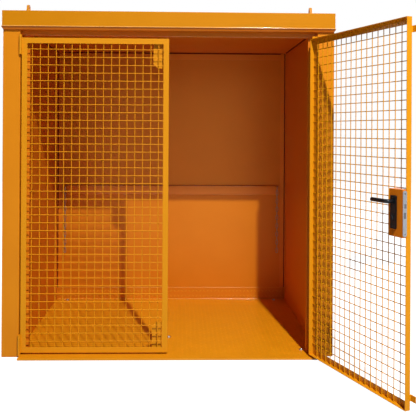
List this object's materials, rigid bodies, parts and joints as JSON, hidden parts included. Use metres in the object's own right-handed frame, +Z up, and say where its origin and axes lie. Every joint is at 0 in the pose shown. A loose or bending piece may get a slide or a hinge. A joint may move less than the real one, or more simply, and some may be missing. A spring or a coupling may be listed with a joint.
{
  "type": "gas cylinder container",
  "caption": "Walk-in steel store for gas cylinders: insulated walls and roof, tread plate floor, mesh double doors with lock, and securing chains on a rail.",
  "frame": {"origin": "on the ground under the middle of the floor, on the underside of the middle floor bearer", "axes": "+X to the right seen from the front, -Y out of the doorway, +Z up"},
  "size_m": [2.3195, 2.4626, 2.2419],
  "materials": {
    "orange_paint": "semi-gloss yellow-orange paint on steel",
    "tread_plate": "painted tread plate",
    "zinc": "bright zinc plating",
    "black_handle": "black handle plastic"
  },
  "bodies": {
    "container": {"floor_plate": "tread_plate", "floor_upstand": "tread_plate", "floor_bearers": "orange_paint", "floor_bolts": "zinc", "back_wall": "orange_paint", "left_wall": "orange_paint", "right_wall": "orange_paint", "left_post": "orange_paint", "right_post": "orange_paint", "roof_ring": "orange_paint", "lintel": "orange_paint", "ceiling_panel": "orange_paint", "roof_cap": "orange_paint", "drip_edge": "orange_paint", "left_stop": "orange_paint", "right_stop": "orange_paint", "corner_trims": "orange_paint", "top_trim": "orange_paint", "chain_rail": "orange_paint", "chain_staples": "orange_paint", "left_chain": "zinc", "right_chain": "zinc", "lifting_eyes": "orange_paint", "door_catches": "orange_paint", "left_post_hinges": "orange_paint", "right_post_hinges": "orange_paint"},
    "left_door": {"left_door_hinge_stile": "orange_paint", "left_door_lock_stile": "orange_paint", "left_door_top_rail": "orange_paint", "left_door_bottom_rail": "orange_paint", "left_door_mesh_uprights": "orange_paint", "left_door_mesh_crosswires": "orange_paint", "left_door_hinges": "orange_paint", "left_door_bolt_plates": "orange_paint"},
    "right_door": {"right_door_hinge_stile": "orange_paint", "right_door_lock_stile": "orange_paint", "right_door_top_rail": "orange_paint", "right_door_bottom_rail": "orange_paint", "right_door_mesh_uprights": "orange_paint", "right_door_mesh_crosswires": "orange_paint", "right_door_hinges": "orange_paint", "right_door_cover_tabs": "orange_paint", "right_door_lock_case": "orange_paint", "right_door_lock_faceplate": "zinc", "right_door_handle_plates": "black_handle"},
    "lever": {"lever_handle": "black_handle"}
  },
  "joints": [
    {"name": "left_door_hinge", "type": "hinge", "parent": "container", "child": "left_door", "pos_m": [-0.938, -0.779, 0], "axis": [0, 0, 1], "range_deg": [-170, 0]},
    {"name": "right_door_hinge", "type": "hinge", "parent": "container", "child": "right_door", "pos_m": [0.938, -0.779, 0], "axis": [0, 0, 1], "range_deg": [-110.2, 60]},
    {"name": "lever_pivot", "type": "hinge", "parent": "right_door", "child": "lever", "pos_m": [1.20853, -1.60116, 1.078], "axis": [-0.9385, -0.3453, 0], "range_deg": [0, 40], "stiffness_Nm_per_rad": 2, "springref_deg": -28.65}
  ]
}
